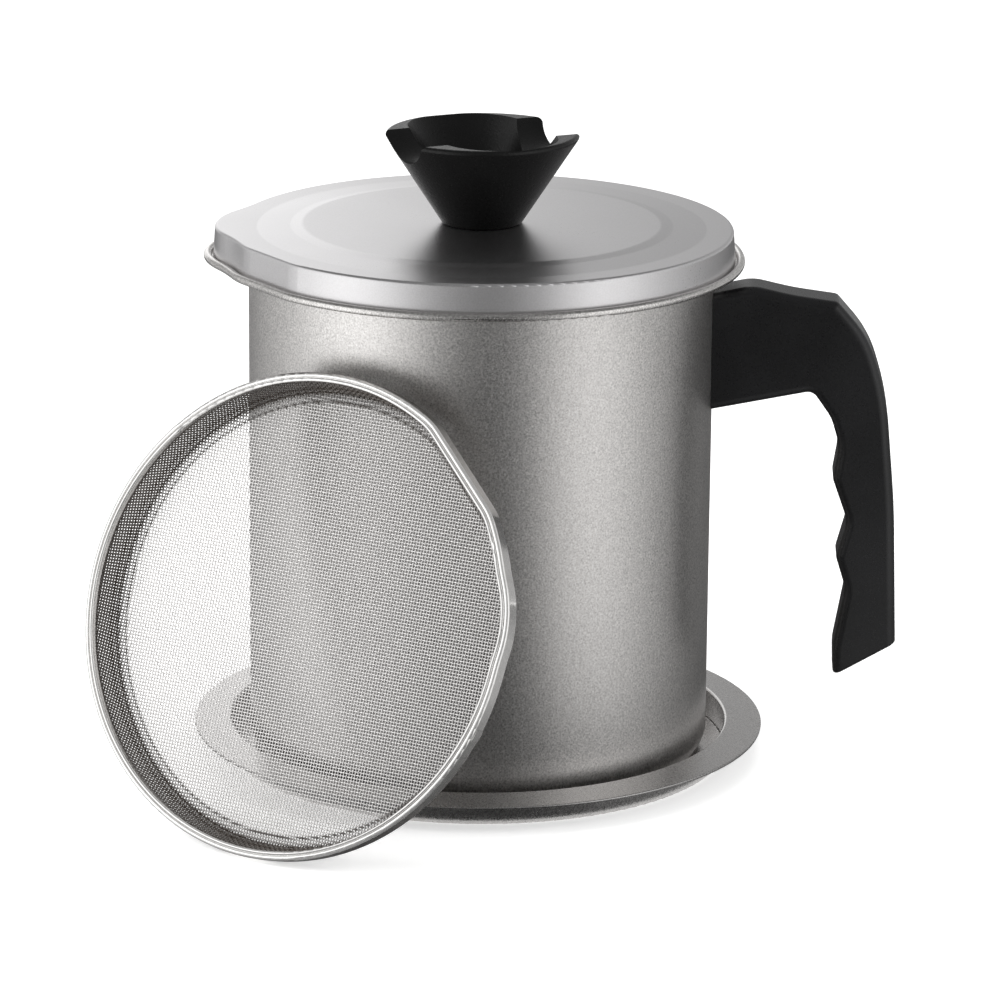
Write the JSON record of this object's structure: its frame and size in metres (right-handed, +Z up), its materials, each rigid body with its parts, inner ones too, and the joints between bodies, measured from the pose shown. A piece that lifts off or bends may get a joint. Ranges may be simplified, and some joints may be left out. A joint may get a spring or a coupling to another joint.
{
  "type": "grease keeper",
  "caption": "Covered grease pot with pouring spout and side handle, standing in a drip tray, with its round wire strainer leaning against it.",
  "frame": {"origin": "centre of the drip tray's underside, on the table, on the pot's axis", "axes": "+Z up along the pot's axis, +X towards the handle, -X towards the spout, strainer on the -Y side"},
  "size_m": [0.203, 0.1845, 0.1621],
  "materials": {
    "coated_steel": "satin pearl grey non-stick coating with a fine speckle",
    "black_plastic": "matte moulded phenolic",
    "polished_steel": "bright polished stainless",
    "wire_steel": "drawn stainless wire cloth",
    "plated_steel": "zinc plated",
    "brass": "turned"
  },
  "bodies": {
    "tray": {"coaster_tray": "coated_steel"},
    "pot": {"pot_body": "coated_steel", "handle_bracket": "plated_steel", "handle_grip": "black_plastic", "handle_screw": "plated_steel"},
    "lid": {"lid_cover": "coated_steel", "lid_knob": "black_plastic", "knob_insert": "brass", "knob_washer": "plated_steel", "knob_screw": "plated_steel"},
    "strainer": {"strainer_rim": "polished_steel", "strainer_mesh": "wire_steel"}
  },
  "joints": [
    {"name": "pot_lift", "type": "slide", "parent": "tray", "child": "pot", "axis": [0, 0, 1], "range_m": [0, 0.06]},
    {"name": "lid_lift", "type": "slide", "parent": "pot", "child": "lid", "axis": [0, 0, 1], "range_m": [0, 0.06]},
    {"name": "strainer_take", "type": "slide", "parent": "tray", "child": "strainer", "axis": [-0.4547, -0.8203, 0.3469], "range_m": [0, 0.08]}
  ]
}
